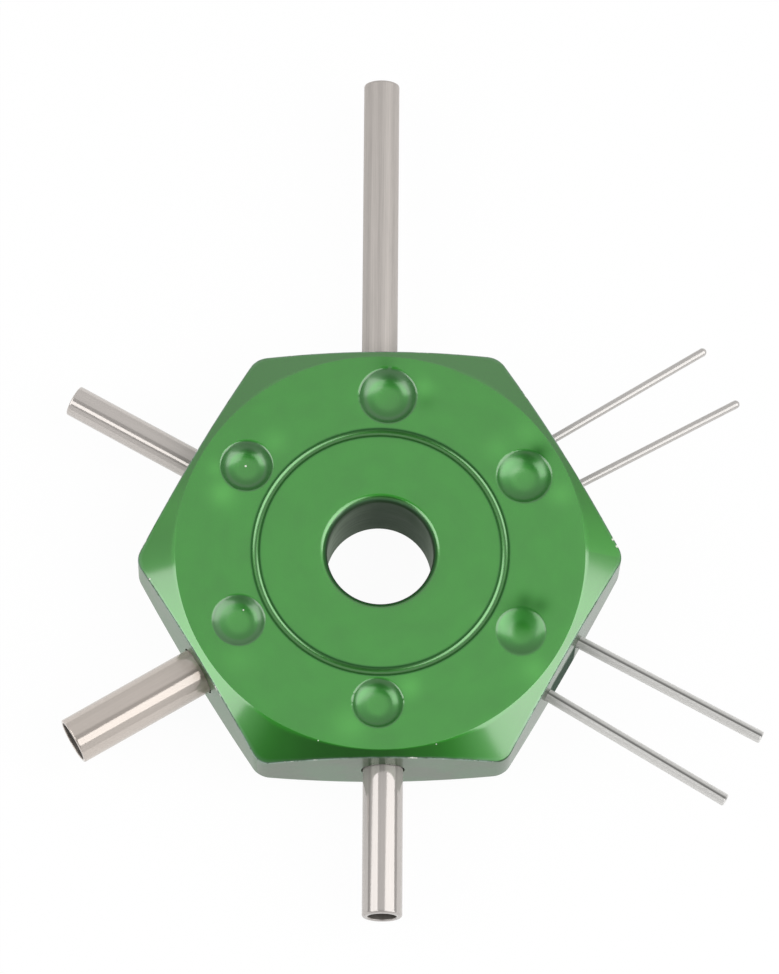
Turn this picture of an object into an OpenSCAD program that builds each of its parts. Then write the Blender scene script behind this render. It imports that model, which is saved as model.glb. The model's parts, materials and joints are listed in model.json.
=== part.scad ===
// Terminal removal tool: a hexagonal hub with four tubes and two pairs of pins around it.
// Each tube or pin is pushed into a blind socket in one flat of the hub and held there
// by a ball mark that was punched into the face above it.
// The origin is the middle of the hub, where the axes of all the tools meet. +Z is the
// face with the ball marks. Lengths are in millimetres and angles in degrees.

/* [Hub] */
// Width of the hub across its flats
hub_across_flats = 40; // [36:1:48]
// Thickness of the hub
hub_thickness = 9.6; // [8:0.2:14]
// Radius of the six upright corners
corner_radius = 1.8; // [0.6:0.2:4]
// How far the flat circle on each face lies inside the flats
face_margin = 0.7; // [0.2:0.1:2]
// Slope of the turned chamfer that cuts the corners, measured from the face
chamfer_angle = 34; // [20:1:45]
// Diameter of the hole through the middle
bore_d = 10; // [6:0.5:15]
// Width and depth of the small chamfer at each rim of that hole
bore_rim = 0.5; // [0.2:0.1:1]

/* [Ring groove] */
// Diameter of the groove at the middle of its width
groove_d = 23.5; // [18:0.5:24.5]
// Width of the groove at the face
groove_width = 0.8; // [0.4:0.1:1.4]
// Depth of the groove
groove_depth = 0.3; // [0.1:0.05:0.5]

/* [Sockets and ball marks] */
// Depth of every socket below its flat, without the drill point
socket_depth = 8; // [5:0.5:10]
// Gap between a tube and the wall of its socket
tube_clearance = 0.15; // [0.02:0.01:0.3]
// Gap between a pin and the wall of its socket
pin_clearance = 0.05; // [0.02:0.01:0.2]
// Full angle of the drill point at the end of each socket
drill_point_angle = 118; // [90:1:140]
// Diameter of a ball mark at the face
mark_d = 5; // [3:0.1:5.6]
// Depth of a ball mark
mark_depth = 0.8; // [0.4:0.1:1.4]
// Rounding of a tube's outer edge at its mouth
mouth_round = 0.25; // [0.05:0.05:0.5]
// Bevel at the cut end of a thick pin
pin_bevel = 0.12; // [0.05:0.01:0.3]

/* [Long tube] */
// Outer diameter
long_tube_d = 3.4; // [2.6:0.1:5]
// Diameter of its bore
long_tube_bore = 2.6; // [1.6:0.1:3]
// Length that stands out of the hub
long_tube_reach = 28.6; // [15:0.5:45]
// Place of its socket to the left of the flat's middle, seen from the hub
long_tube_side = -0.25; // [-2:0.05:2]
// Lean of its socket to the left
long_tube_lean = -1.1; // [-3:0.1:3]
// Distance of its ball mark from the flat
long_tube_mark_inset = 4.6; // [4:0.1:6]
// Place of its ball mark to the left
long_tube_mark_side = -0.9; // [-1.5:0.1:1.5]

/* [Small tube] */
// Outer diameter
small_tube_d = 3; // [2.6:0.1:4.5]
// Diameter of its bore
small_tube_bore = 2.4; // [1.4:0.1:2.5]
// Length that stands out of the hub
small_tube_reach = 13.4; // [8:0.2:30]
// Place of its socket to the left of the flat's middle, seen from the hub
small_tube_side = 0; // [-2:0.05:2]
// Lean of its socket to the left
small_tube_lean = 0.1; // [-3:0.1:3]
// Distance of its ball mark from the flat
small_tube_mark_inset = 4.9; // [4:0.1:6]
// Place of its ball mark to the left
small_tube_mark_side = -1.1; // [-1.5:0.1:1.5]

/* [Large tube] */
// Outer diameter
large_tube_d = 4.5; // [4.2:0.1:5.2]
// Diameter of its bore
large_tube_bore = 3.9; // [2.4:0.1:4]
// Length that stands out of the hub
large_tube_reach = 13.6; // [8:0.2:30]
// Place of its socket to the left of the flat's middle, seen from the hub
large_tube_side = 0.25; // [-2:0.05:2]
// Lean of its socket to the left
large_tube_lean = 0.1; // [-3:0.1:3]
// Distance of its ball mark from the flat
large_tube_mark_inset = 5.1; // [4:0.1:6]
// Place of its ball mark to the left
large_tube_mark_side = -0.9; // [-1.5:0.1:1.5]

/* [Medium tube] */
// Outer diameter
medium_tube_d = 3.8; // [3.2:0.1:5]
// Diameter of its bore
medium_tube_bore = 2.7; // [1.8:0.1:3]
// Length that stands out of the hub
medium_tube_reach = 14.2; // [8:0.2:30]
// Place of its socket to the left of the flat's middle, seen from the hub
medium_tube_side = 0.1; // [-2:0.05:2]
// Lean of its socket to the left
medium_tube_lean = -1; // [-3:0.1:3]
// Distance of its ball mark from the flat
medium_tube_mark_inset = 5.2; // [4:0.1:6]
// Place of its ball mark to the left
medium_tube_mark_side = -0.4; // [-1.5:0.1:1.5]

/* [Fine pins] */
// Diameter of each pin
fine_pin_d = 0.8; // [0.5:0.05:1.6]
// Distance between the two sockets at the flat
fine_pin_spacing = 5.1; // [3:0.1:9]
// Length that stands out of the hub
fine_pin_reach = 18; // [10:0.5:30]
// Angle by which each pin spreads away from the other
fine_pin_spread = 1.6; // [0:0.1:3]
// Place of the pair to the left of the flat's middle, seen from the hub
fine_pin_side = -0.05; // [-2:0.05:2]
// Lean of the pair to the left
fine_pin_lean = -0.7; // [-3:0.1:3]
// Distance of their ball mark from the flat
fine_pin_mark_inset = 4.5; // [4:0.1:6]
// Place of their ball mark to the left
fine_pin_mark_side = -0.5; // [-1.5:0.1:1.5]

/* [Thick pins] */
// Diameter of each pin
thick_pin_d = 1.2; // [0.8:0.05:2]
// Distance between the two sockets at the flat
thick_pin_spacing = 6; // [4:0.1:9]
// Length that stands out of the hub
thick_pin_reach = 19.5; // [10:0.5:30]
// Angle by which each pin spreads away from the other
thick_pin_spread = 1.5; // [0:0.1:3]
// Place of the pair to the left of the flat's middle, seen from the hub
thick_pin_side = -0.2; // [-2:0.05:2]
// Lean of the pair to the left
thick_pin_lean = -0.7; // [-3:0.1:3]
// Distance of their ball mark from the flat
thick_pin_mark_inset = 4.7; // [4:0.1:6]
// Place of their ball mark to the left
thick_pin_mark_side = -0.3; // [-1.5:0.1:1.5]

/* [Hidden] */
$fn = 96;
// Length by which a cut runs past the surface that it opens
over = 1;
// Half of the width across flats: each flat's distance from the axis
apothem = hub_across_flats / 2;
face_z = hub_thickness / 2;
face_r = apothem - face_margin;
corner_reach = hub_across_flats / sqrt(3);
bore_r = bore_d / 2;
groove_r = groove_d / 2;
// Radii of the round nose that cuts the groove and of the ball that leaves a mark
groove_nose_r = (groove_width * groove_width / 4 + groove_depth * groove_depth) / (2 * groove_depth);
mark_ball_r = (mark_d * mark_d / 4 + mark_depth * mark_depth) / (2 * mark_depth);
// Each tool points along the normal of one flat
fine_pin_angle = 30;
long_tube_angle = 90;
small_tube_angle = 150;
large_tube_angle = 210;
medium_tube_angle = 270;
thick_pin_angle = 330;

// Puts its children where a tool's axis leaves the flat, with +Z out along the tool
module on_flat(angle, side, lean) {
    rotate([0, 0, angle])
        translate([apothem, side, 0])
            rotate([0, 0, lean])
                rotate([0, 90, 0])
                    children();
}

// Puts its children on one pin of a pair: toward is 1 for the left pin and -1 for the right
module on_pin(angle, side, lean, spacing, spread, toward) {
    on_flat(angle, side + toward * spacing / 2, lean + toward * spread)
        children();
}

// Blind hole with a drill point, opened through the flat
module socket_cut(hole_d) {
    point_length = hole_d / 2 / tan(drill_point_angle / 2);
    translate([0, 0, -socket_depth])
        cylinder(d = hole_d, h = socket_depth + over);
    translate([0, 0, -socket_depth - point_length])
        cylinder(d1 = 0, d2 = hole_d, h = point_length);
}

// Bowl that a ball leaves in the front face
module mark_cut(angle, inset, side) {
    rotate([0, 0, angle])
        translate([apothem - inset, side, face_z - mark_depth + mark_ball_r])
            sphere(r = mark_ball_r);
}

// Outline of the bar: a hexagon with round corners, as three crossed bands and six discs
module bar_outline() {
    core = apothem - corner_radius;
    core_side = 2 * core / sqrt(3);
    for (turn = [30, 90, 150])
        rotate(turn)
            square([hub_across_flats, core_side], center = true);
    for (turn = [0 : 60 : 300])
        rotate(turn)
            translate([core_side, 0])
                circle(r = corner_radius);
}

// Turned blank: a disc whose two rims slope away outside the flat circle
module turned_blank() {
    drop = (corner_reach - face_r) * tan(chamfer_angle);
    rotate_extrude()
        polygon([
            [0, -face_z],
            [face_r, -face_z],
            [corner_reach, -face_z + drop],
            [corner_reach, face_z - drop],
            [face_r, face_z],
            [0, face_z]
        ]);
}

// Hole through the middle, with its two rims opened by a small chamfer
module centre_cut() {
    rotate_extrude()
        polygon([
            [0, -face_z - over],
            [bore_r + bore_rim + over, -face_z - over],
            [bore_r, -face_z + bore_rim],
            [bore_r, face_z - bore_rim],
            [bore_r + bore_rim + over, face_z + over],
            [0, face_z + over]
        ]);
}

// Round-bottomed ring in the front face
module groove_cut() {
    rotate_extrude()
        translate([groove_r, face_z - groove_depth + groove_nose_r])
            circle(r = groove_nose_r);
}

// All the sockets, one for each tube and each pin
module socket_cuts() {
    on_flat(long_tube_angle, long_tube_side, long_tube_lean)
        socket_cut(long_tube_d + 2 * tube_clearance);
    on_flat(small_tube_angle, small_tube_side, small_tube_lean)
        socket_cut(small_tube_d + 2 * tube_clearance);
    on_flat(large_tube_angle, large_tube_side, large_tube_lean)
        socket_cut(large_tube_d + 2 * tube_clearance);
    on_flat(medium_tube_angle, medium_tube_side, medium_tube_lean)
        socket_cut(medium_tube_d + 2 * tube_clearance);
    for (toward = [1, -1]) {
        on_pin(fine_pin_angle, fine_pin_side, fine_pin_lean, fine_pin_spacing, fine_pin_spread, toward)
            socket_cut(fine_pin_d + 2 * pin_clearance);
        on_pin(thick_pin_angle, thick_pin_side, thick_pin_lean, thick_pin_spacing, thick_pin_spread, toward)
            socket_cut(thick_pin_d + 2 * pin_clearance);
    }
}

// One ball mark over each tube and over each pair of pins
module mark_cuts() {
    mark_cut(long_tube_angle, long_tube_mark_inset, long_tube_mark_side);
    mark_cut(small_tube_angle, small_tube_mark_inset, small_tube_mark_side);
    mark_cut(large_tube_angle, large_tube_mark_inset, large_tube_mark_side);
    mark_cut(medium_tube_angle, medium_tube_mark_inset, medium_tube_mark_side);
    mark_cut(fine_pin_angle, fine_pin_mark_inset, fine_pin_mark_side);
    mark_cut(thick_pin_angle, thick_pin_mark_inset, thick_pin_mark_side);
}

module hub() {
    color([0.33, 0.61, 0.31])
        difference() {
            intersection() {
                translate([0, 0, -face_z])
                    linear_extrude(hub_thickness)
                        bar_outline();
                turned_blank();
            }
            centre_cut();
            groove_cut();
            socket_cuts();
            mark_cuts();
        }
}

// Length of tube, seated at the bottom of its socket, with a rounded outer edge at its mouth
module tube(outer_d, inner_d, reach) {
    wall = (outer_d - inner_d) / 2;
    round_r = min(mouth_round, wall / 2);
    total = socket_depth + reach;
    translate([0, 0, -socket_depth])
        rotate_extrude()
            translate([inner_d / 2, 0]) {
                square([wall, total - round_r]);
                square([wall - round_r, total]);
                translate([wall - round_r, total - round_r])
                    circle(r = round_r);
            }
}

module long_tube() {
    color([0.73, 0.71, 0.69])
        on_flat(long_tube_angle, long_tube_side, long_tube_lean)
            tube(long_tube_d, long_tube_bore, long_tube_reach);
}

module small_tube() {
    color([0.76, 0.73, 0.70])
        on_flat(small_tube_angle, small_tube_side, small_tube_lean)
            tube(small_tube_d, small_tube_bore, small_tube_reach);
}

module large_tube() {
    color([0.75, 0.72, 0.69])
        on_flat(large_tube_angle, large_tube_side, large_tube_lean)
            tube(large_tube_d, large_tube_bore, large_tube_reach);
}

module medium_tube() {
    color([0.80, 0.78, 0.76])
        on_flat(medium_tube_angle, medium_tube_side, medium_tube_lean)
            tube(medium_tube_d, medium_tube_bore, medium_tube_reach);
}

// Fine pin with a domed tip
module fine_pin(toward) {
    shank = socket_depth + fine_pin_reach - fine_pin_d / 2;
    color([0.78, 0.76, 0.74])
        on_pin(fine_pin_angle, fine_pin_side, fine_pin_lean, fine_pin_spacing, fine_pin_spread, toward)
            translate([0, 0, -socket_depth]) {
                cylinder(d = fine_pin_d, h = shank);
                translate([0, 0, shank])
                    sphere(d = fine_pin_d);
            }
}

// Thick pin, cut square, with a small bevel at its end
module thick_pin(toward) {
    shank = socket_depth + thick_pin_reach - pin_bevel;
    color([0.74, 0.73, 0.71])
        on_pin(thick_pin_angle, thick_pin_side, thick_pin_lean, thick_pin_spacing, thick_pin_spread, toward)
            translate([0, 0, -socket_depth]) {
                cylinder(d = thick_pin_d, h = shank);
                translate([0, 0, shank])
                    cylinder(d1 = thick_pin_d, d2 = thick_pin_d - 2 * pin_bevel, h = pin_bevel);
            }
}

hub();
long_tube();
small_tube();
large_tube();
medium_tube();
fine_pin(1);  // fine_pin_upper
fine_pin(-1);  // fine_pin_lower
thick_pin(1);  // thick_pin_upper
thick_pin(-1);  // thick_pin_lower
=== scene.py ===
"""Dresses the packed terminal removal tool: a green anodised hub with four tubes and two pairs of pins.

Run as a script it loads the packed model as a fixed frame, builds each visible piece as a numpy
surface around it, gives it a procedural finish, and sets up the floor, the light and the camera.
The property groups keep lengths in metres, and the surfaces are worked out in millimetres.
"""

import json
import math
from types import SimpleNamespace

import bpy
import numpy as np
from mathutils import Euler, Matrix, Vector


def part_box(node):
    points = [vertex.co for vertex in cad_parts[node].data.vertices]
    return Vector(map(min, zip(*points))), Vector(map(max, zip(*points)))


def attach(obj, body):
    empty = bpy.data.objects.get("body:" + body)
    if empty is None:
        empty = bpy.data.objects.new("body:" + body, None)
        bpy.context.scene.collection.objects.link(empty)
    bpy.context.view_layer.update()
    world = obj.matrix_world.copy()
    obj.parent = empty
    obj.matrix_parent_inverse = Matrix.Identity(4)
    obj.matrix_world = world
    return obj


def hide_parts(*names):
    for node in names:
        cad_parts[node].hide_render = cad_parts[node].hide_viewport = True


bl_info = {
    "name": "Terminal removal tool",
    "version": (1, 0, 0),
    "blender": (4, 5, 0),
    "location": "3D View > Sidebar > Removal tool",
    "description": "Builds the pieces, finishes and studio of a terminal removal tool",
    "category": "Object",
}

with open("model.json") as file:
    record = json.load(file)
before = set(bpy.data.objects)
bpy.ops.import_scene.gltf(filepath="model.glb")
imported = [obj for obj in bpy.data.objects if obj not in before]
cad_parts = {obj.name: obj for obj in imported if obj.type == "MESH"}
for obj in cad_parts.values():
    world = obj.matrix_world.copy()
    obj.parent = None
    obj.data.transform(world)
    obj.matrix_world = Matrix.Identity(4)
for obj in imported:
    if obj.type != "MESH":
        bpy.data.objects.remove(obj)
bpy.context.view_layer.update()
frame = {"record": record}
MM = 0.001

# From the frame: the hub's width over two flats, its thickness and the bores' diameters, in millimetres.
HUB_LOW, HUB_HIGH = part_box("hub")
ACROSS_FLATS = (HUB_HIGH[1] - HUB_LOW[1]) / MM
THICKNESS = (HUB_HIGH[2] - HUB_LOW[2]) / MM
BORES = {
    mount["name"]: 2 * mount["dims"]["r_mm"]
    for mount in frame["record"]["mounts"]
    if mount["kind"] == "bore"
}

TUBES = ("long_tube", "small_tube", "large_tube", "medium_tube")
PIN_PAIRS = ("fine_pin", "thick_pin")

# How far a socket's drill shape runs past the flat, in millimetres, and half its point's angle, in degrees.
DRILL_PAST = 1.0
DRILL_HALF_POINT = 59
# Radius of the ring of points that ends a pin or a drill shape on its axis.
POLE = 1e-4

# Columns round the hub, a tube, a pin and a drill shape, and rows across the hub's face.
HUB_COLUMNS = 576
TUBE_COLUMNS = 144
PIN_COLUMNS = 64
DRILL_COLUMNS = 72
FACE_ROWS = 84
# The ring of the face where the ball marks lie: the radius of its middle and half its width.
MARK_RING = (15.25, 3.05)
# Edges that turn by more than this many degrees are shaded crisp.
HUB_CREASE = 42
TOOL_CREASE = 40

# Order of the hub's materials.
FACE, SIDE, BORE, CHAMFER, MARK = range(5)
# A face of the hub is upright, or steep, where its normal's Z is under this.
UPRIGHT = 0.78
STEEP = 0.7
# The sockets' walls lie closer than this to the middle plane of the hub.
SOCKET_HEIGHT = 3.0

# Painted highlights on what the punches raised: x, y and width in millimetres, and how much paler they are
# painted.
PAINTED_HIGHLIGHT_PLACES = (
    (4.3, 16.2, 1.0, 0.6),
    (-9.8, 10.8, 1.2, 0.5),
    (-15.4, 8.3, 0.9, 0.5),
    (-14.8, 5.8, 1.3, 0.9),
    (11.1, 10.2, 1.3, 0.4),
    (14.0, 11.7, 1.2, 0.4),
    (17.1, 5.5, 1.2, 0.6),
    (14.3, -11.7, 1.3, 0.6),
    (9.8, -6.5, 0.9, 0.35),
    (2.6, -13.3, 1.1, 0.7),
    (-3.0, -16.9, 1.6, 0.6),
    (-13.2, -10.6, 1.6, 0.3),
)
# Painted shade in the hollows beside and in the ball marks: x, y and width in millimetres, and how much
# darker they are painted.
PAINTED_SHADE_PLACES = (
    (15.0, 9.6, 0.9, 1.0),
    (15.0, -5.4, 0.9, 0.6),
    (13.5, -4.8, 0.8, 0.5),
    (13.1, -6.4, 1.3, 1.0),
    (0.7, 18.6, 0.9, 0.4),
    (4.5, 14.8, 0.8, 0.3),
)
# Bright specks on the front face: x, y and radius in millimetres.
SPECKS = (
    (-12.6, 8.8, 0.10),
    (-12.9, -5.5, 0.07),
    (-6.0, -18.4, 0.05),
    (5.0, -18.8, 0.05),
    (-21.7, -2.1, 0.09),
    (22.0, 1.6, 0.10),
    (22.4, 1.0, 0.12),
)
# Stretches of chamfer with a painted highlight: direction in degrees, width in radians.
LIT_CORNERS = ((8, 0.23), (166, 0.15))

# Anodised finish of what was turned, and of the six sides of the bar.
TURNED_FINISH = {"roughness": 0.55, "pitch": 0.09, "wear": 0.8, "coat": 0.96, "index": 2.1, "mottle": 0.0}
SIDE_FINISH = {"roughness": 0.5, "pitch": 0.25, "wear": 1.0, "coat": 0.575, "index": 1.9, "mottle": 0.45}

# Gap under the hub and half the floor's width, in metres, and how white the camera and the metal see it.
FLOOR_GAP = 0.00002
FLOOR_SIZE = 6.0
FLOOR_GLOW = 0.96
# The gap in the room's light, as the direction of its middle, and how dark the gap and the low bands are.
GAP_DIRECTION = (-0.061, -0.496, 0.866)
GAP_DARK = 0.85
BAND_DARK = 0.95
# Soft boxes: azimuth, elevation and roll in degrees, width and height in metres.
SOFT_BOXES = {
    "soft_box_left": (190, 42.8, 0, 0.51, 0.495),
    "soft_box_right": (-16.8, 44.7, 17.5, 0.63, 0.70),
}
SOFT_BOX_DISTANCE = 0.6
WHITE = (1, 1, 1)


# Sizes and colours that a user can change, each shown in the sidebar

def length(name, about, millimetres):
    """A size, given here in millimetres and kept in metres."""
    return bpy.props.FloatProperty(
        name=name, description=about, default=millimetres * MM, unit="LENGTH", precision=5
    )


def angle(name, about, degrees):
    """An angle, given here in degrees."""
    return bpy.props.FloatProperty(
        name=name, description=about, default=math.radians(degrees), subtype="ANGLE"
    )


def colour(name, about, default):
    """A colour of a finish."""
    return bpy.props.FloatVectorProperty(
        name=name, description=about, default=default, subtype="COLOR", size=3, min=0, max=1
    )


def share(name, about, default):
    """A share between 0 and 1."""
    return bpy.props.FloatProperty(
        name=name, description=about, default=default, subtype="FACTOR", min=0, max=1
    )


def level(name, about, default):
    """A plain number, such as how bright a lamp's face is."""
    return bpy.props.FloatProperty(name=name, description=about, default=default, min=0)


class HubSettings(bpy.types.PropertyGroup):
    """Sizes of the hexagonal hub."""

    across_flats: length("Across flats", "Width of the hub between two opposite flats", ACROSS_FLATS)
    thickness: length("Thickness", "Thickness of the hub", THICKNESS)
    corner_radius: length("Corner radius", "Radius of the six upright corners", 1.8)
    face_margin: length("Face margin", "How far the flat circle lies inside the flats", 0.7)
    chamfer: angle("Chamfer", "Slope of the turned chamfer, from the face", 34)
    bore: length("Bore", "Diameter of the hole through the middle", BORES["bore"])
    bore_rim: length("Bore rim", "Width of the small chamfer at each end of the hole", 0.5)
    groove: length("Ring groove", "Diameter of the ring groove", 23.5)
    groove_width: length("Groove width", "Width of the ring groove at the face", 0.8)
    groove_depth: length("Groove depth", "Depth of the ring groove", 0.3)
    edge_round: length("Edge rounding", "Rounding between the flat circle and the chamfer", 0.01)
    outer_round: length("Outer edge rounding", "Rounding between chamfer and side", 0.12)
    socket_depth: length("Socket depth", "Depth of the socket that holds each tool", 8.0)
    tube_gap: length("Gap round a tube", "Gap between a tube and the wall of its socket", 0.15)
    pin_gap: length("Gap round a pin", "Gap between a pin and the wall of its socket", 0.05)


# Kind, name and description of each size of a tube or of a pair of pins.
TOOL_SIZES = {
    "flat": (angle, "Flat", "Direction of the flat that carries it"),
    "outer": (length, "Outer diameter", "Outer diameter"),
    "bore": (length, "Bore", "Diameter of its bore, 0 for a pin"),
    "reach": (length, "Reach", "Length that stands out of the hub"),
    "side": (length, "Side", "Distance to the left of the flat's middle"),
    "lean": (angle, "Lean", "Lean to the left"),
    "mark_inset": (length, "Mark inset", "Distance of its ball mark from the flat"),
    "mark_side": (length, "Mark side", "Place of its ball mark to the left"),
    "mark": (length, "Mark diameter", "Diameter of its ball mark"),
    "mark_depth": (length, "Mark depth", "Depth of its ball mark"),
    "tilt_x": (angle, "Mark tilt X", "Slope of the bottom of its ball mark, up towards +X"),
    "tilt_y": (angle, "Mark tilt Y", "Slope of the bottom of its ball mark, up towards +Y"),
    "shape": (level, "Mark shape", "2 makes its ball mark a bowl, more makes the bottom flatter"),
    "haze": (share, "Haze", "Width of the crazed ring in its ball mark, as a share of the radius"),
}


def tool_settings(title, **sizes):
    """A property group for one tube or pair of pins, with its own defaults in millimetres and degrees."""
    props = {key: kind(name, about, sizes[key]) for key, (kind, name, about) in TOOL_SIZES.items()}
    body = {"__annotations__": props, "__doc__": "Sizes of the " + title + "."}
    return type(title.title().replace(" ", "") + "Settings", (bpy.types.PropertyGroup,), body)


TOOL_GROUPS = {
    "long_tube": tool_settings(
        "long tube", flat=90, outer=3.4, bore=BORES["long_tube_mouth"], reach=28.6, side=-0.25, lean=-1.1,
        mark_inset=4.6, mark_side=-0.9, mark=5.5, mark_depth=1.0, tilt_x=-1.5, tilt_y=-3.6,
        shape=3.3, haze=0.30,
    ),
    "small_tube": tool_settings(
        "small tube", flat=150, outer=3.0, bore=BORES["small_tube_mouth"], reach=13.4, side=0.0, lean=0.1,
        mark_inset=4.9, mark_side=-1.1, mark=4.96, mark_depth=1.0, tilt_x=-1.3, tilt_y=-4.5,
        shape=3.4, haze=0.32,
    ),
    "large_tube": tool_settings(
        "large tube", flat=210, outer=4.5, bore=BORES["large_tube_mouth"], reach=13.6, side=0.25, lean=0.1,
        mark_inset=5.1, mark_side=-0.9, mark=4.96, mark_depth=0.6, tilt_x=-3.8, tilt_y=-1.4,
        shape=3.9, haze=0.28,
    ),
    "medium_tube": tool_settings(
        "medium tube", flat=270, outer=3.8, bore=BORES["medium_tube_mouth"], reach=14.2, side=0.1, lean=-1.0,
        mark_inset=5.2, mark_side=-0.4, mark=4.8, mark_depth=0.75, tilt_x=-2.9, tilt_y=-2.7,
        shape=4.1, haze=0.18,
    ),
    "fine_pin": tool_settings(
        "fine pin", flat=30, outer=0.8, bore=0.0, reach=18.0, side=-0.05, lean=-0.7,
        mark_inset=4.5, mark_side=-0.5, mark=5.24, mark_depth=0.86, tilt_x=-3.3, tilt_y=-1.0,
        shape=3.3, haze=0.15,
    ),
    "thick_pin": tool_settings(
        "thick pin", flat=330, outer=1.2, bore=0.0, reach=19.5, side=-0.2, lean=-0.7,
        mark_inset=4.7, mark_side=-0.3, mark=4.68, mark_depth=0.55, tilt_x=0.5, tilt_y=3.8,
        shape=2.6, haze=0.10,
    ),
}


class PairSettings(bpy.types.PropertyGroup):
    """How the pins of each pair stand to each other."""

    fine_pin_spacing: length("Fine spacing", "Distance between the fine pins at the flat", 5.1)
    fine_pin_spread: angle("Fine spread", "Angle by which each fine pin spreads outwards", 1.6)
    thick_pin_spacing: length("Thick spacing", "Distance between the thick pins at the flat", 6.0)
    thick_pin_spread: angle("Thick spread", "Angle by which each thick pin spreads outwards", 1.5)
    bevel: length("Bevel", "Bevel at the cut end of a thick pin", 0.12)


class FinishSettings(bpy.types.PropertyGroup):
    """Colours of the finishes."""

    anodised: colour("Anodised green", "Metal under the dyed film on the faces", (0.034, 0.335, 0.021))
    anodised_side: colour("Anodised sides", "Metal under the dyed film on the sides", (0.03, 0.13, 0.03))
    patchy: colour("Patchy film", "Grey patches on the six sides", (0.17, 0.155, 0.14))
    # Painted highlight on what the punches raised and on two corners of the chamfer.
    painted_highlight: colour("Raised places", "Film on what the punches raised", (0.085, 0.49, 0.06))
    # Painted shade in the hollows by the ball marks and on the flat of the large tube.
    painted_shade: colour("Hollow places", "Film in the hollows by the ball marks", (0.013, 0.15, 0.01))
    # Painted shade on the chamfer by the thick pins.
    painted_chamfer_shade: colour("Faded chamfer", "Film on the chamfer by the thick pins", (0.048, 0.19, 0.04))
    pressed: colour("Pressed walls", "Film on the walls of the ball marks", (0.038, 0.245, 0.034))
    crazed: colour("Crazed film", "Dull film that the punch cracked in the ball marks", (0.05, 0.20, 0.05))
    # Painted shade in the groove, on the rims and between the pins.
    crease_shade_colour: colour("Dirt", "Dirt in the groove, on the rims and between the pins", (0.006, 0.04, 0.016))
    rubbed: colour("Rubbed film", "Edges where the film is rubbed thin", (0.26, 0.38, 0.30))
    pits: colour("Pits", "Small dents along the edges", (0.04, 0.09, 0.04))
    bare: colour("Bare metal", "Aluminium where the film is knocked off", (0.72, 0.75, 0.66))
    bore_wall: colour("Bore wall", "Drilled wall of the middle hole", (0.145, 0.19, 0.136))
    bore_shade: colour("Bore shade", "Drilled wall under the rim and at the far side", (0.013, 0.045, 0.013))
    satin: colour("Satin nickel", "The long tube", (0.49, 0.454, 0.426))
    polished: colour("Bright nickel", "The small tube", (0.58, 0.54, 0.51))
    grey: colour("Grey nickel", "The medium tube", (0.505, 0.472, 0.449))
    warm: colour("Warm nickel", "The large tube", (0.587, 0.528, 0.48))
    # Painted shade inside the tubes.
    tube_inside_shade: colour("Tube wall", "Inside of the tubes", (0.27, 0.25, 0.23))
    steel: colour("Bright wire", "The fine pins", (0.53, 0.51, 0.49))
    dull_steel: colour("Dull wire", "The thick pins", (0.68, 0.67, 0.65))
    # Painted reflection: the dark line along the top of each thick pin.
    seam: colour("Dark line", "Line along the top of each thick pin", (0.05, 0.05, 0.045))
    stain: colour("Brown stain", "Stain where the large tube leaves the hub", (0.28, 0.21, 0.14))


class StudioSettings(bpy.types.PropertyGroup):
    """The floor, the light and the camera."""

    floor: colour("Floor", "Colour of the floor", (0.9, 0.9, 0.9))
    overhead: level("Overhead", "Brightness of the ceiling of the room", 0.58)
    walls: level("Walls", "Brightness of the walls of the room", 0.62)
    soft_box: level("Soft boxes", "Brightness of the two soft boxes", 2.1)
    focal_length: level("Focal length", "Focal length of the lens in millimetres", 250.2)
    camera_place: bpy.props.FloatVectorProperty(
        name="Camera place", description="Where the camera stands", subtype="TRANSLATION", unit="LENGTH",
        default=(-0.013586, -0.186589, 0.61308), precision=5,
    )
    camera_turn: bpy.props.FloatVectorProperty(
        name="Camera turn", description="How the camera is turned", subtype="EULER", unit="ROTATION",
        default=(0.3073, -0.0201, -0.0119),
    )


def settings(name):
    """One of this tool's property groups on the scene."""
    return getattr(bpy.context.scene, "removal_tool_" + name)


# Curves and places, in millimetres

def crowded(count, low, high, weight):
    """count numbers from low to high, packed in proportion to weight(x): the inverse of its running sum."""
    fine = np.linspace(low, high, 6001)
    dense = weight(fine)
    total = np.concatenate([[0.0], np.cumsum((dense[1:] + dense[:-1]) / 2)])
    return np.interp(np.linspace(0, total[-1], count), total, fine)


def turn_from(theta, direction):
    """Angle between theta and direction, from 0 to pi."""
    return np.abs((theta - direction + math.pi) % (2 * math.pi) - math.pi)


def smooth_step(value, low, high):
    """0 below low, 1 above high, and the cubic 3t^2 - 2t^3 between them."""
    t = np.clip((value - low) / (high - low), 0, 1)
    return t * t * (3 - 2 * t)


def near(distance, width):
    """1 at distance 0, falling to both sides as exp(-(distance / width)^2)."""
    return np.exp(-((distance / width) ** 2))


def above_zero(value, softness):
    """The positive part of value with its corner rounded: (value + sqrt(value^2 + softness^2)) / 2."""
    return (value + np.sqrt(value * value + softness * softness)) / 2


def hexagon_radius(theta, apothem, corner):
    """Distance from the axis to a hexagon with round corners in the direction theta.

    Along a flat it is apothem / cos(a), where a is the angle from the flat's normal. Near a corner
    it is where the ray meets the corner's circle, whose middle lies (apothem - corner) / cos(30)
    from the axis.
    """
    a = np.abs((theta - math.pi / 2 + math.pi / 6) % (math.pi / 3) - math.pi / 6)
    flat = apothem / np.cos(a)
    middle = (apothem - corner) / math.cos(math.pi / 6)
    b = math.pi / 6 - a
    inside = np.maximum(corner**2 - (middle * np.sin(b)) ** 2, 0)
    rounded = middle * np.cos(b) + np.sqrt(inside)
    return np.where(a > math.atan2(middle / 2, apothem), rounded, flat)


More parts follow.
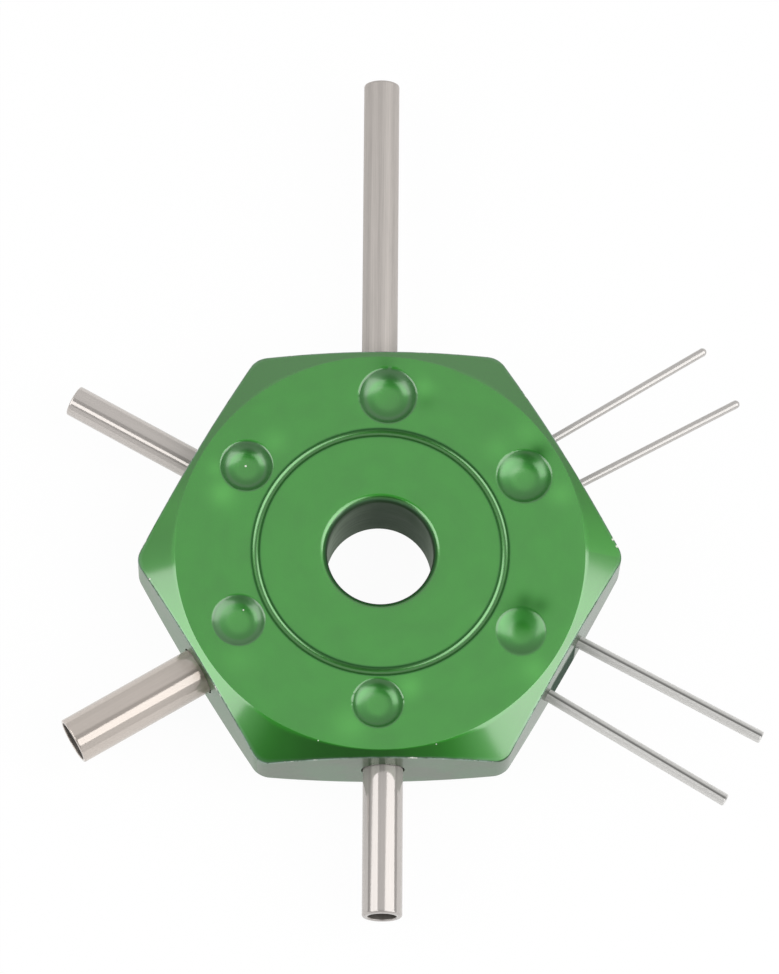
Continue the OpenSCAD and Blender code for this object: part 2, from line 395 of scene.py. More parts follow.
def dish(distance, width, depth, softness):
    """Depth of a round-nosed cut at a distance from its middle, with its rim rounded.

    The nose is the circle through both rims and the bottom, of radius (width^2 / 4 + depth^2) / (2 depth).
    """
    nose = (width * width / 4 + depth * depth) / (2 * depth)
    inside = np.sqrt(np.maximum(nose * nose - np.minimum(distance, nose) ** 2, 0))
    return above_zero(inside - (nose - depth), softness) - above_zero(-(nose - depth), softness)


def punched(part, depth, shape):
    """Depth of a ball mark at a part of its radius: depth (1 - part^shape), with its rim rounded."""
    softness = 0.016
    return above_zero(depth * (1 - part**shape), softness) - above_zero(-20 * depth + 0 * part, softness)


def spotted(x, y, places):
    """From 0 to 1: the sum of amount exp(-(d / width)^2) at distance d from each place."""
    total = 0 * x
    for place_x, place_y, width, amount in places:
        total = total + amount * near(np.hypot(x - place_x, y - place_y), width)
    return np.clip(total, 0, 1)


def hub_form():
    """The hub's main sizes."""
    hub = settings("hub")
    apothem = hub.across_flats / 2 / MM
    return SimpleNamespace(
        apothem=apothem,
        corner=hub.corner_radius / MM,
        flat_circle=apothem - hub.face_margin / MM,
        slope=math.tan(hub.chamfer),
        face_z=hub.thickness / 2 / MM,
        bore=hub.bore / 2 / MM,
        rim=hub.bore_rim / MM,
        groove=hub.groove / 2 / MM,
        groove_half=hub.groove_width / 2 / MM,
        groove_depth=hub.groove_depth / MM,
    )


def hub_edge(form, theta):
    """Radius of the hub's sides in the direction theta, and how far the chamfer has dropped there.

    The drop is (radius - flat circle) tan(chamfer), so it is deepest at the corners.
    """
    outer = hexagon_radius(theta, form.apothem, form.corner)
    return outer, (outer - form.flat_circle) * form.slope


def ball_marks():
    """Each ball mark's place, diameter, depth, slopes of its bottom, shape and haze."""
    apothem = settings("hub").across_flats / 2 / MM
    marks = []
    for name in TUBES + PIN_PAIRS:
        tool = settings(name)
        along = apothem - tool.mark_inset / MM
        side = tool.mark_side / MM
        c, s = math.cos(tool.flat), math.sin(tool.flat)
        marks.append(SimpleNamespace(
            x=along * c - side * s,
            y=along * s + side * c,
            width=tool.mark / MM,
            depth=tool.mark_depth / MM,
            slope_x=math.tan(tool.tilt_x),
            slope_y=math.tan(tool.tilt_y),
            shape=tool.shape,
            haze=tool.haze,
        ))
    return marks


def tool_place(flat, side, lean):
    """Matrix that puts a tool's own frame, with +Z out along the tool, on its flat."""
    apothem = settings("hub").across_flats / 2 / MM
    out = Matrix.Rotation(flat, 4, "Z") @ Matrix.Translation((apothem, side, 0))
    return np.array(out @ Matrix.Rotation(lean, 4, "Z") @ Matrix.Rotation(math.pi / 2, 4, "Y"))


def tool_places(name):
    """The place of a tube, or those of the two pins of a pair, the left one first, seen from the hub."""
    tool = settings(name)
    side = tool.side / MM
    if name in TUBES:
        return [tool_place(tool.flat, side, tool.lean)]
    spacing = getattr(settings("pairs"), name + "_spacing") / MM
    spread = getattr(settings("pairs"), name + "_spread")
    return [
        tool_place(tool.flat, side + toward * spacing / 2, tool.lean + toward * spread)
        for toward in (1, -1)
    ]


def placed(points, place):
    """points (..., 3) carried by the 4x4 matrix place."""
    return points @ place[:3, :3].T + place[:3, 3]


# Meshes

def bend(before, corner, after, steps=5):
    """Rows that round a corner: the curve (1-u)^2 before + 2u(1-u) corner + u^2 after, for u from 0 to 1."""
    u = np.linspace(0, 1, steps)[:, None, None]
    return (1 - u) ** 2 * before + 2 * u * (1 - u) * corner + u * u * after


def closed_loop_rows(corners, runs, rounding, hold):
    """Rows of a closed profile whose corners are rounded.

    corners is a list of arrays (columns, 2) of radius and height. runs[i] holds the shares of the
    way from corner i to the next at which rows lie. Each corner is cut back by rounding[i], and where
    hold[i] is over 0 a row at that distance on both sides keeps the shading flat up to the rounding.
    """
    rows = []
    for i, here in enumerate(corners):
        back = corners[i - 1] - here
        ahead = corners[(i + 1) % len(corners)] - here
        back_unit = back / np.linalg.norm(back, axis=1, keepdims=True)
        ahead_unit = ahead / np.linalg.norm(ahead, axis=1, keepdims=True)
        held = rounding[i] + hold[i]
        if hold[i] > 0:
            rows.append((here + back_unit * held)[None])
        rows.append(bend(here + back_unit * rounding[i], here, here + ahead_unit * rounding[i]))
        if hold[i] > 0:
            rows.append((here + ahead_unit * held)[None])
        shares = np.asarray(runs[i])[:, None, None]
        rows.append(here + shares * ahead)
    return np.concatenate(rows)


def grid_mesh(name, points):
    """A mesh from points (rows, columns, 3) in millimetres, each cell of the grid one four-sided face.

    The last row joins the first, and the last column the first.
    """
    rows, columns = points.shape[:2]
    low = np.arange(rows * columns).reshape(rows, columns)
    low_right = np.roll(low, -1, axis=1)
    high = np.roll(low, -1, axis=0)
    high_right = np.roll(low_right, -1, axis=0)
    quads = np.stack([low, low_right, high_right, high], axis=-1).reshape(-1, 4)
    mesh = bpy.data.meshes.new(name)
    mesh.from_pydata(points.reshape(-1, 3) * MM, [], quads)
    mesh.update()
    return mesh


def turned(profile, columns):
    """A profile of (radius, height) rows carried round the Z axis: (r cos t, r sin t, h)."""
    t = np.linspace(0, 2 * math.pi, columns, endpoint=False)
    radius, height = profile[:, 0, None], profile[:, 1, None]
    return np.stack([radius * np.cos(t), radius * np.sin(t), height + 0 * t], axis=-1)


def new_piece(name, mesh):
    """An object for mesh in the scene, at the origin."""
    piece = bpy.data.objects.new(name, mesh)
    bpy.context.scene.collection.objects.link(piece)
    return piece


def piece_for_node(name, mesh, node):
    """An object for mesh that rides on the body and stands for a node of the frame."""
    piece = new_piece(name, mesh)
    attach(piece, "root")
    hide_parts(node)
    return piece


def vectors(items, field):
    """One vector of each vertex or face of a mesh, as an array (n, 3)."""
    flat = np.zeros(len(items) * 3)
    items.foreach_get(field, flat)
    return flat.reshape(-1, 3)


def put_attribute(mesh, name, values):
    """Stores one number or one vector a vertex as an attribute that a material can read."""
    values = np.asarray(values, dtype=np.float32)
    kind, field = ("FLOAT", "value") if values.ndim == 1 else ("FLOAT_VECTOR", "vector")
    mesh.attributes.new(name, kind, "POINT").data.foreach_set(field, values.ravel())


def shade(mesh, sharp_degrees):
    """Smooth shading, with edges sharper than the angle left crisp."""
    mesh.polygons.foreach_set("use_smooth", np.ones(len(mesh.polygons), dtype=bool))
    mesh.set_sharp_from_angle(angle=math.radians(sharp_degrees))
    mesh.update()


def drilled(mesh, cutters):
    """mesh with the cutters taken out of it by one Boolean a cutter, as a new mesh."""
    piece = new_piece("drilling", mesh)
    helpers = [new_piece("drill", grid_mesh("drill", points)) for points in cutters]
    for helper in helpers:
        cut = piece.modifiers.new("socket", "BOOLEAN")
        cut.operation = "DIFFERENCE"
        cut.solver = "EXACT"
        cut.object = helper
    graph = bpy.context.evaluated_depsgraph_get()
    result = bpy.data.meshes.new_from_object(piece.evaluated_get(graph))
    for helper in helpers + [piece]:
        data = helper.data
        bpy.data.objects.remove(helper)
        bpy.data.meshes.remove(data)
    return result


# Shape of the hub

def face_relief(x, y):
    """Height of the front face over its plane at x, y.

    It is minus the ring groove and minus the six ball marks, whose bottoms are tilted.
    """
    form = hub_form()
    from_groove = np.abs(np.hypot(x, y) - form.groove)
    height = -dish(from_groove, 2 * form.groove_half, form.groove_depth, softness=0.02)
    for mark in ball_marks():
        part = np.hypot(x - mark.x, y - mark.y) / (mark.width / 2)
        height -= punched(part, mark.depth, mark.shape)
        slant = mark.slope_x * (x - mark.x) + mark.slope_y * (y - mark.y)
        height += slant * (1 - smooth_step(part, 0.5, 1.0))
    return height


def column_weight(theta):
    """How close the hub's columns lie: closer where they cross a ball mark or a corner.

    It is 1 + sum of 2.2 exp(-(turn / mark_span)^6) over the marks and 2.5 exp(-(turn / corner_span)^4)
    over the corners, with the turn from each in radians.
    """
    mark_span, corner_span = 0.19, 0.06
    marks = ball_marks()
    mark_angles = np.arctan2([mark.y for mark in marks], [mark.x for mark in marks])
    corner_angles = np.radians(np.arange(0, 360, 60))
    near_mark = sum(np.exp(-((turn_from(theta, a) / mark_span) ** 6)) for a in mark_angles)
    near_corner = sum(np.exp(-((turn_from(theta, a) / corner_span) ** 4)) for a in corner_angles)
    return 1 + 2.2 * near_mark + 2.5 * near_corner


def row_weight(radius, groove):
    """How close the rows of the hub's face lie: closer at the groove and at the ball marks."""
    groove_span = 0.62
    middle, half_width = MARK_RING
    at_groove = np.exp(-(((radius - groove) / groove_span) ** 6))
    at_marks = np.exp(-(((radius - middle) / half_width) ** 10))
    return 1 + 15 * at_groove + 9 * at_marks


def hub_points():
    """The hub as a closed grid: its profile, from the bore out over the front and back again, round the axis.

    Every row has one radius and height a column. The chamfers drop as hub_edge says, the sides stand
    at the hexagon's radius, and the front face is raised by face_relief.
    """
    hub = settings("hub")
    form = hub_form()
    theta = crowded(HUB_COLUMNS + 1, 0, 2 * math.pi, column_weight)[:-1]
    outer, drop = hub_edge(form, theta)
    inner = form.bore + form.rim
    face_z = form.face_z

    def station(radius, height):
        """A corner of the profile, as one (radius, height) a column."""
        return np.stack([radius + 0 * theta, height + 0 * theta], axis=-1)

    span = form.flat_circle - form.bore - form.rim
    margin = 0.12
    face_rows = crowded(
        FACE_ROWS, margin, span - margin, lambda s: row_weight(s + form.bore + form.rim, form.groove)
    )
    corners = [
        station(form.bore, face_z - form.rim),
        station(inner, face_z),
        station(form.flat_circle, face_z),
        station(outer, face_z - drop),
        station(outer, -face_z + drop),
        station(form.flat_circle, -face_z),
        station(inner, -face_z),
        station(form.bore, -face_z + form.rim),
    ]
    runs = [
        [0.5],
        face_rows[1:-1] / span,
        [0.12, 0.3, 0.45, 0.6, 0.75],
        np.linspace(0.06, 0.94, 12),
        [0.12, 0.4, 0.6],
        [0.02, 0.2, 0.4, 0.6, 0.8, 0.98],
        [0.5],
        [0.06, 0.25, 0.5, 0.75, 0.94],
    ]
    rim = 0.45 * form.rim
    edge = hub.edge_round / MM
    outer_edge = hub.outer_round / MM
    rounding = [rim, rim, edge, outer_edge, outer_edge, edge, rim, rim]
    rows = closed_loop_rows(corners, runs, rounding, hold=[0, 0, 0, 0.04, 0.04, 0, 0, 0])
    radius, z = rows[..., 0], rows[..., 1]
    x = radius * np.cos(theta)
    y = radius * np.sin(theta)
    on_face = (radius > inner) & (radius < form.flat_circle) & (z > face_z - 0.02)
    z = z + np.where(on_face, face_relief(x, y), 0)
    return np.stack([x, y, z], axis=-1)[::-1]


def socket_cutters():
    """Points of each socket's drill shape, a cylinder that runs past the flat, with a drill point."""
    hub = settings("hub")
    depth = hub.socket_depth / MM
    cutters = []
    for name in TUBES + PIN_PAIRS:
        gap = hub.tube_gap if name in TUBES else hub.pin_gap
        radius = (settings(name).outer + 2 * gap) / MM / 2
        point = radius / math.tan(math.radians(DRILL_HALF_POINT))
        profile = [(POLE, -depth - point), (radius, -depth), (radius, DRILL_PAST), (POLE, DRILL_PAST)]
        drill = turned(np.array(profile), DRILL_COLUMNS)
        cutters += [placed(drill, place) for place in tool_places(name)]
    return cutters


def hub_masks(points):
    """Masks from 0 to 1 at each point of the hub, by the name of their attribute.

    edge_wear is exp(-distance / 0.16) from the edge between chamfer and side. crazing is the ring from
    a ball mark's rim inwards, and pressed is the mark's wall. soiling lies in the corners of the groove,
    on the rims and on the flat between the thick pins. cone is what was turned after the face: the
    chamfers, the rim of the hole and the groove. faded is the chamfer by the thick pins. paler is what
    the punches raised, and the chamfer at two corners. darker is the hollows beside the marks, and the
    flat that carries the large tube. Widths are in millimetres, or parts of a ball mark's radius.
    """
    form = hub_form()
    x, y, z = points.T
    r = np.hypot(x, y)
    theta = np.arctan2(y, x)
    outer, drop = hub_edge(form, theta)
    front = z > 0
    height = np.abs(z)
    side_top = form.face_z - drop
    from_groove = np.abs(r - form.groove) - form.groove_half
    groove_edge = np.abs(from_groove) + np.where(z > form.face_z - 0.4, 0, 9)

    # Painted shade: dark lines along the edges of the groove and round the rim of the hole.
    crease_shade_mask = 0.7 * near(groove_edge, 0.11)
    bore_edge = 0.9 * front * (1 - smooth_step(r, form.bore + 0.15, form.bore + 0.45))
    crease_shade_mask = np.maximum(crease_shade_mask, bore_edge)
    crazing = 0 * x
    pressed = 0 * x
    on_face = (z > form.face_z - 0.05) & (r < form.flat_circle) & (groove_edge > 0.1)
    for mark in ball_marks():
        d = np.hypot(x - mark.x, y - mark.y) / (mark.width / 2)
        inner = 1 - mark.haze
        ring = smooth_step(d, inner - 0.07, inner + 0.07) * (1 - smooth_step(d, 0.96, 1.03))
        crazing = np.maximum(crazing, ring * smooth_step(mark.haze, 0.08, 0.28) * front)
        on_face = on_face * smooth_step(d, 0.95, 1.12)
        wall = smooth_step(d, 0.3, 0.6) * (1 - smooth_step(d, 0.9, 1.05))
        pressed = np.maximum(pressed, wall * front)
        # Painted shade round the rim of each ball mark.
        crease_shade_mask = np.maximum(crease_shade_mask, 0.25 * near(d - 0.99, 0.035) * front)

    # Painted shade on the flat between the thick pins, low down.
    thick = settings("thick_pin")
    along = x * math.cos(thick.flat) + y * math.sin(thick.flat)
    side = y * math.cos(thick.flat) - x * math.sin(thick.flat) - thick.side / MM
    half_gap = settings("pairs").thick_pin_spacing / MM / 2
    stain = (along > form.apothem - 0.1) * (1 - smooth_step(np.abs(side), half_gap - 0.7, half_gap - 0.4))
    crease_shade_mask = np.maximum(crease_shade_mask, stain * (1 - smooth_step(z, 0.4, 1.6)))

    chamfer = smooth_step(height, side_top - 0.1, side_top)
    chamfer = chamfer * smooth_step(r, form.flat_circle, form.flat_circle + 0.1)
    degrees = np.degrees(theta) % 360
    # Painted shade on the chamfer by the thick pins.
    painted_chamfer_shade = smooth_step(degrees, 297, 312) * (1 - 0.7 * smooth_step(degrees, 334, 346))
    # Painted highlights on the chamfer at two corners.
    lit = sum(near(turn_from(theta, math.radians(at)), width) for at, width in LIT_CORNERS)
    lit = 0.45 * chamfer * lit * front
    # Painted shade on the flat that carries the large tube.
    on_large_flat = turn_from(theta, settings("large_tube").flat) < math.radians(29)
    shaded = 0.42 * on_large_flat * (r > form.flat_circle) * (height < side_top)
    turned_rim = (z > form.face_z - 0.6) * (1 - smooth_step(r, form.bore + 0.45, form.bore + 0.55))
    turned_groove = (z > form.face_z - 0.4) * (1 - smooth_step(from_groove, -0.05, 0.03))
    return {
        "edge_wear": np.exp(-np.hypot(r - outer, height - side_top) / 0.16),
        "crazing": crazing,
        "painted_chamfer_shade": painted_chamfer_shade * chamfer * front,
        "pressed": pressed,
        "crease_shade_mask": crease_shade_mask,
        "cone": np.maximum.reduce([chamfer, turned_rim, turned_groove]),
        "painted_highlight": np.maximum(lit, on_face * spotted(x, y, PAINTED_HIGHLIGHT_PLACES)),
        "painted_shade": np.maximum(shaded, front * spotted(x, y, PAINTED_SHADE_PLACES)),
    }


def hub_face_kinds(mesh):
    """Index of the material of each face of the hub."""
    form = hub_form()
    x, y, z = vectors(mesh.polygons, "center").T / MM
    flatness = np.abs(vectors(mesh.polygons, "normal")[:, 2])
    from_axis = np.hypot(x, y)
    upright = flatness < UPRIGHT
    in_bore = (flatness < STEEP) & (from_axis < form.bore + form.rim)
    inside = (from_axis > 2 * form.bore) & (from_axis < form.apothem - 0.1)
    in_socket = inside & (np.abs(z) < SOCKET_HEIGHT)
    kind = np.where(~upright & (from_axis > form.flat_circle), CHAMFER, FACE)
    kind = np.where(upright & (from_axis > form.apothem - 1), SIDE, kind)
    kind = np.where(in_bore | in_socket, BORE, kind)
    for mark in ball_marks():
        in_mark = np.hypot(x - mark.x, y - mark.y) < 0.47 * mark.width
        kind = np.where((kind == FACE) & (z > 0) & in_mark, MARK, kind)
    return kind.astype(np.int32)


# Shape of the tubes and pins, as profiles of (radius, height)

def straight(radius, low, high, count):
    """Points up or down a straight wall."""
    return np.column_stack([np.full(count, radius), np.linspace(low, high, count)])


def arc(radius, height, size, start, end, count):
    """Points (radius + size cos(a), height + size sin(a)) for count angles a from start to end."""
    a = np.linspace(start, end, count)
    return np.column_stack([radius + size * np.cos(a), height + size * np.sin(a)])


def tube_profile(outer, bore, reach, depth, mouth=0.25):
    """Closed profile of a tube: out along its wall, over the rounded mouth and back down the bore."""
    fillet = min(mouth, (outer - bore) / 4)
    lip = fillet * 0.4
    return np.concatenate([
        straight(outer / 2, -depth, reach - fillet - 0.05, 12),
        arc(outer / 2 - fillet, reach - fillet, fillet, 0, math.pi / 2, 7),
        arc(bore / 2 + lip, reach - lip, lip, math.pi / 2, math.pi, 5),
        straight(bore / 2, reach - lip - 0.05, -depth, 10),
    ])


def domed_profile(radius, reach, depth):
    """Profile of a pin with a domed tip: a straight wall and a quarter circle."""
    return np.concatenate([
        [(POLE, -depth)],
        straight(radius, -depth, reach - radius - 0.05, 12),
        arc(0, reach - radius, radius, 0, math.pi / 2, 12)[:-1],
        [(POLE, reach)],
    ])


def square_profile(radius, reach, depth, bevel):
    """Profile of a pin that was cut square, with a small bevel."""
    return np.concatenate([
        [(POLE, -depth)],
        straight(radius, -depth, reach - bevel - 0.03, 12),
        [(radius, reach - bevel), (radius - 0.3 * bevel, reach - 0.4 * bevel), (radius - bevel, reach)],
        [(radius * 0.5, reach), (POLE, reach)],
    ])


def add_tool(name, node, profile, place, columns, material):
    """One tube or pin as a piece that stands for its node."""
    own = turned(profile, columns)
    mesh = grid_mesh(name, placed(own, place))
    put_attribute(mesh, "own_frame", own)
    mesh.materials.append(material)
    shade(mesh, TOOL_CREASE)
    return piece_for_node(name, mesh, node)


def line_bore(mesh, place, radius, reach, material):
    """Gives material to the faces of a tube that lie closer to its axis than radius, behind its mouth."""
    mesh.materials.append(material)
    own = placed(vectors(mesh.polygons, "center") / MM, np.linalg.inv(place))
    inner = (np.hypot(own[:, 0], own[:, 1]) < radius) & (own[:, 2] < reach - 0.15)
    mesh.polygons.foreach_set("material_index", inner.astype(np.int32))


# Shader nodes

def feed(socket, value):
    """Sets an input to a number, a vector or a colour, or links it to an output."""
    if isinstance(value, bpy.types.NodeSocket):
        socket.id_data.links.new(value, socket)
    else:
        socket.default_value = (*value, 1) if socket.type == "RGBA" else value


def add_node(nodes, kind, inputs=None, **choices):
    """A shader node with its choices made and then its inputs fed, by name or number."""
    node = nodes.new("ShaderNode" + kind)
    for name, value in choices.items():
        setattr(node, name, value)
    for key, value in (inputs or {}).items():
        feed(node.inputs[key], value)
    return node


def calc(nodes, operation, *values, clamp=False):
    """One sum of numbers or outputs."""
    return add_node(nodes, "Math", dict(enumerate(values)), operation=operation, use_clamp=clamp).outputs[0]


def product(nodes, first, second):
    """first times second."""
    return calc(nodes, "MULTIPLY", first, second)


def split(nodes, vector):
    """The x, y and z of a vector."""
    return add_node(nodes, "SeparateXYZ", {0: vector}).outputs


def join(nodes, x, y, z):
    """A vector from x, y and z."""
    return add_node(nodes, "CombineXYZ", {0: x, 1: y, 2: z}).outputs[0]


def noise(nodes, vector, scale, detail, roughness=0.5):
    """A 3-D noise from 0 to 1."""
    inputs = {"Vector": vector, "Scale": scale, "Detail": detail, "Roughness": roughness}
    return add_node(nodes, "TexNoise", inputs).outputs["Fac"]


def ramp(nodes, value, low, high):
    """0 where value is at low or before it, 1 where it is at high or past it, straight between."""
    inputs = {"Value": value, "From Min": low, "From Max": high}
    return add_node(nodes, "MapRange", inputs, clamp=True).outputs["Result"]


def mixed(nodes, amount, first, second):
    """Colour between first and second."""
    return add_node(nodes, "Mix", {0: amount, 6: first, 7: second}, data_type="RGBA").outputs[2]


def attribute(nodes, name, output="Fac"):
    """An attribute of the mesh."""
    return add_node(nodes, "Attribute", attribute_name=name).outputs[output]


def bump(nodes, height, distance, strength):
    """A Bump node's normal. distance is the height of the relief in millimetres."""
    inputs = {"Height": height, "Distance": distance * MM, "Strength": strength}
    return add_node(nodes, "Bump", inputs).outputs["Normal"]


def object_millimetres(nodes):
    """Object coordinates scaled to millimetres."""
    metres = add_node(nodes, "TexCoord").outputs["Object"]
    return add_node(nodes, "VectorMath", {0: metres, "Scale": 1 / MM}, operation="SCALE").outputs[0]


def round_pattern(nodes, place):
    """(distance from the hub's axis, x, y) in millimetres, for marks that run round the axis."""
    x, y, _ = split(nodes, place)
    square = calc(nodes, "MULTIPLY_ADD", y, y, product(nodes, x, x))
    return join(nodes, calc(nodes, "SQRT", square), x, y)


def tinted(metal, factor):
    """A colour made lighter or darker, but no lighter than white."""
    return [min(1.0, c * factor) for c in metal]


# Node groups

def new_group(name, inputs, outputs):
    """A new shader node group: its nodes, what its inputs give and what its outputs take.

    inputs holds each input's default, None for a vector. The outputs are plain numbers.
    """
    group = bpy.data.node_groups.new(name, "ShaderNodeTree")
    for label, default in inputs.items():
        kind = "NodeSocketVector" if default is None else "NodeSocketFloat"
        socket = group.interface.new_socket(name=label, in_out="INPUT", socket_type=kind)
        if default is not None:
            socket.default_value = default
    for label in outputs:
        group.interface.new_socket(name=label, in_out="OUTPUT", socket_type="NodeSocketFloat")
    nodes = group.nodes
    return nodes, nodes.new("NodeGroupInput").outputs, nodes.new("NodeGroupOutput").inputs


def place_group(nodes, name, **inputs):
    """The outputs of a node group that is placed in a material."""
    return add_node(nodes, "Group", inputs, node_tree=bpy.data.node_groups[name]).outputs


def tool_marks_group():
    """Fine parallel marks that a lathe or a drawing die leaves, and slow blotches of gloss.

    Pattern is a vector in millimetres whose X runs across the marks. The marks are a noise of it,
    fine in X and long in Y and Z.
    """
    nodes, given, out = new_group(
        "Tool marks", {"Pattern": None, "Pitch": 0.08, "Length": 8.0}, ["Height", "Blotches"]
    )
    x, y, z = split(nodes, given["Pattern"])
    across = calc(nodes, "DIVIDE", x, given["Pitch"])
    along = calc(nodes, "DIVIDE", y, given["Length"])
    turn = calc(nodes, "DIVIDE", z, given["Length"])
    feed(out["Height"], noise(nodes, join(nodes, across, along, turn), 1.0, 2.0, 0.6))
    feed(out["Blotches"], noise(nodes, given["Pattern"], 0.35, 3.0))


def wear_group():
    """Nicks where the film is knocked off an edge, stretches where it is rubbed thin, and dark pits.

    Edge is 1 on the edge and falls to 0 away from it. A coarse noise picks the places and a fine
    one gives them a ragged outline.
    """
    nodes, given, out = new_group(
        "Edge wear", {"Place": None, "Edge": 0.0, "Amount": 0.5}, ["Mask", "Rubbed", "Pits"]
    )
    place, edge, amount = given["Place"], given["Edge"], given["Amount"]
    coarse = ramp(nodes, noise(nodes, place, 0.9, 2.0), 0.42, 0.72)
    fine = noise(nodes, place, 7.0, 3.0, 0.7)
    nicks = product(nodes, product(nodes, product(nodes, coarse, fine), edge), amount)
    feed(out["Mask"], ramp(nodes, nicks, 0.25, 0.31))
    broad = ramp(nodes, noise(nodes, place, 0.6, 3.0), 0.3, 0.55)
    along_edge = product(nodes, broad, ramp(nodes, edge, 0.2, 0.8))
    feed(out["Rubbed"], product(nodes, along_edge, amount))
    holes = ramp(nodes, noise(nodes, place, 2.6, 3.0, 0.7), 0.57, 0.63)
    feed(out["Pits"], product(nodes, holes, ramp(nodes, edge, 0.3, 0.5)))


def dust_group():
    """Bright specks on the front face, each at its own place, in millimetres."""
    nodes, given, out = new_group("Dust specks", {"Place": None}, ["Mask"])
    x, y, z = split(nodes, given["Place"])
    flat = join(nodes, x, y, 0)
    mask = 0.0
    for speck_x, speck_y, radius in SPECKS:
        inputs = {0: flat, 1: (speck_x, speck_y, 0)}
        distance = add_node(nodes, "VectorMath", inputs, operation="DISTANCE").outputs["Value"]
        mask = calc(nodes, "MAXIMUM", calc(nodes, "LESS_THAN", distance, radius), mask)
    feed(out["Mask"], product(nodes, mask, calc(nodes, "GREATER_THAN", z, 0.0)))


# Materials

def new_material(name):
    """A material with a Principled BSDF, returned with its nodes and that shader's inputs."""
    material = bpy.data.materials.new(name)
    material.use_nodes = True
    nodes = material.node_tree.nodes
    return material, nodes, nodes["Principled BSDF"].inputs


def emptied(owner):
    """The nodes of a material or a world, all taken out."""
    owner.use_nodes = True
    owner.node_tree.nodes.clear()
    return owner.node_tree.nodes


def anodised_material(name, metal, film, roughness, pitch, wear, coat, index, mottle):
    """Dyed anodised aluminium: a blurred tinted metal under a clear film.

    The metal carries fine tool marks, pitch apart, and wear is how far its edges are bare. The film is
    dull and grey where the punch crazed it and dark where it is soiled, and a few specks of dust lie on
    it. film is its roughness, index its refraction and coat its strength. mottle is how strongly its
    thickness and colour vary in patches.
    """
    finish = settings("finish")
    material, nodes, inputs = new_material(name)
    place = object_millimetres(nodes)
    marks = place_group(nodes, "Tool marks", Pattern=round_pattern(nodes, place), Pitch=pitch, Length=14.0)
    worn = place_group(nodes, "Edge wear", Place=place, Edge=attribute(nodes, "edge_wear"), Amount=wear)
    specks = place_group(nodes, "Dust specks", Place=place)
    crazing = attribute(nodes, "crazing")
    cone = attribute(nodes, "cone")
    pressed = attribute(nodes, "pressed")
    painted_shade = attribute(nodes, "painted_shade")
    patches = product(nodes, ramp(nodes, noise(nodes, place, 0.22, 4.0, 0.55), 0.4, 0.6), mottle)
    cloudy = ramp(nodes, noise(nodes, place, 0.9, 3.0), 0.1, 0.4)
    # Painted shade in the creases, broken up by a noise.
    crease_shade_amount = product(nodes, attribute(nodes, "crease_shade_mask"), cloudy)
    bare = calc(nodes, "MAXIMUM", worn["Mask"], specks["Mask"])
    lost = calc(nodes, "MAXIMUM", bare, worn["Pits"])

    base = mixed(nodes, ramp(nodes, marks["Blotches"], 0.3, 0.7), tinted(metal, 0.9), metal)
    for mask, paint in (
        (patches, finish.patchy),
        # Painted shade in the hollows by the marks and on the flat of the large tube.
        (painted_shade, finish.painted_shade),
        (cone, (metal[0] * 0.7 + 0.007, metal[1] * 0.7, metal[2] * 0.7 + 0.007)),
        # Painted highlights on what the punches raised and on two corners of the chamfer.
        (attribute(nodes, "painted_highlight"), finish.painted_highlight),
        # Painted shade on the chamfer by the thick pins.
        (attribute(nodes, "painted_chamfer_shade"), finish.painted_chamfer_shade),
        (pressed, finish.pressed),
        (crazing, finish.crazed),
        # Painted shade in the creases of the groove, on the rims and between the thick pins.
        (crease_shade_amount, finish.crease_shade_colour),
        (worn["Rubbed"], finish.rubbed),
        (worn["Pits"], finish.pits),
        (bare, finish.bare),
    ):
        base = mixed(nodes, mask, base, paint)
    feed(inputs["Base Color"], base)

    rough = roughness - 0.04
    for mask, change in ((marks["Blotches"], 0.08), (cone, -0.17), (pressed, -0.06), (crease_shade_amount, 0.4)):
        rough = calc(nodes, "MULTIPLY_ADD", mask, change, rough)
    feed(inputs["Roughness"], rough)

    metallic = calc(nodes, "MULTIPLY_ADD", crazing, -0.3, 1.0)
    metallic = calc(nodes, "SUBTRACT", metallic, lost)
    feed(inputs["Metallic"], calc(nodes, "SUBTRACT", metallic, crease_shade_amount, clamp=True))

    gone = lost
    for mask, amount in (
        (crazing, 0.35),
        (patches, 0.5),
        (cone, 0.12),
        (pressed, 0.4),
        (painted_shade, 0.7),
        (crease_shade_amount, 1.0),
        (worn["Rubbed"], 0.4),
    ):
        gone = calc(nodes, "MAXIMUM", gone, product(nodes, mask, amount))
    feed(inputs["Coat Weight"], product(nodes, calc(nodes, "SUBTRACT", 1.0, gone), coat))
    feed(inputs["Coat Roughness"], film)
    feed(inputs["Coat IOR"], index)
    feed(inputs["Normal"], bump(nodes, marks["Height"], 0.004, 0.35))
    return material


def drilled_material(metal, shade_colour):
    """Drilled wall of the middle hole: dull and scored round the axis, dark under the rim and at the back."""
    material, nodes, inputs = new_material("drilled_wall")
    x, y, z = split(nodes, object_millimetres(nodes))
    scored = place_group(nodes, "Tool marks", Pattern=join(nodes, z, x, y), Pitch=0.22, Length=5.0)
    wall = mixed(nodes, ramp(nodes, scored["Height"], 0.35, 0.7), metal, tinted(metal, 1.6))
    # Painted shade at the far side of the hole and under its rim.
    toward = calc(nodes, "MULTIPLY_ADD", x, 0.35, y)
    far_side = product(nodes, ramp(nodes, toward, 0.5, 5.0), 0.9)
    under_rim = product(nodes, ramp(nodes, z, 2.0, 3.8), 0.85)
    dark = calc(nodes, "MAXIMUM", far_side, under_rim)
    feed(inputs["Base Color"], mixed(nodes, dark, wall, shade_colour))
    feed(inputs["Metallic"], 0.35)
    feed(inputs["Specular IOR Level"], 0.1)
    feed(inputs["Roughness"], calc(nodes, "MULTIPLY_ADD", scored["Blotches"], 0.2, 0.5))
    feed(inputs["Normal"], bump(nodes, scored["Height"], 0.02, 0.6))
    return material


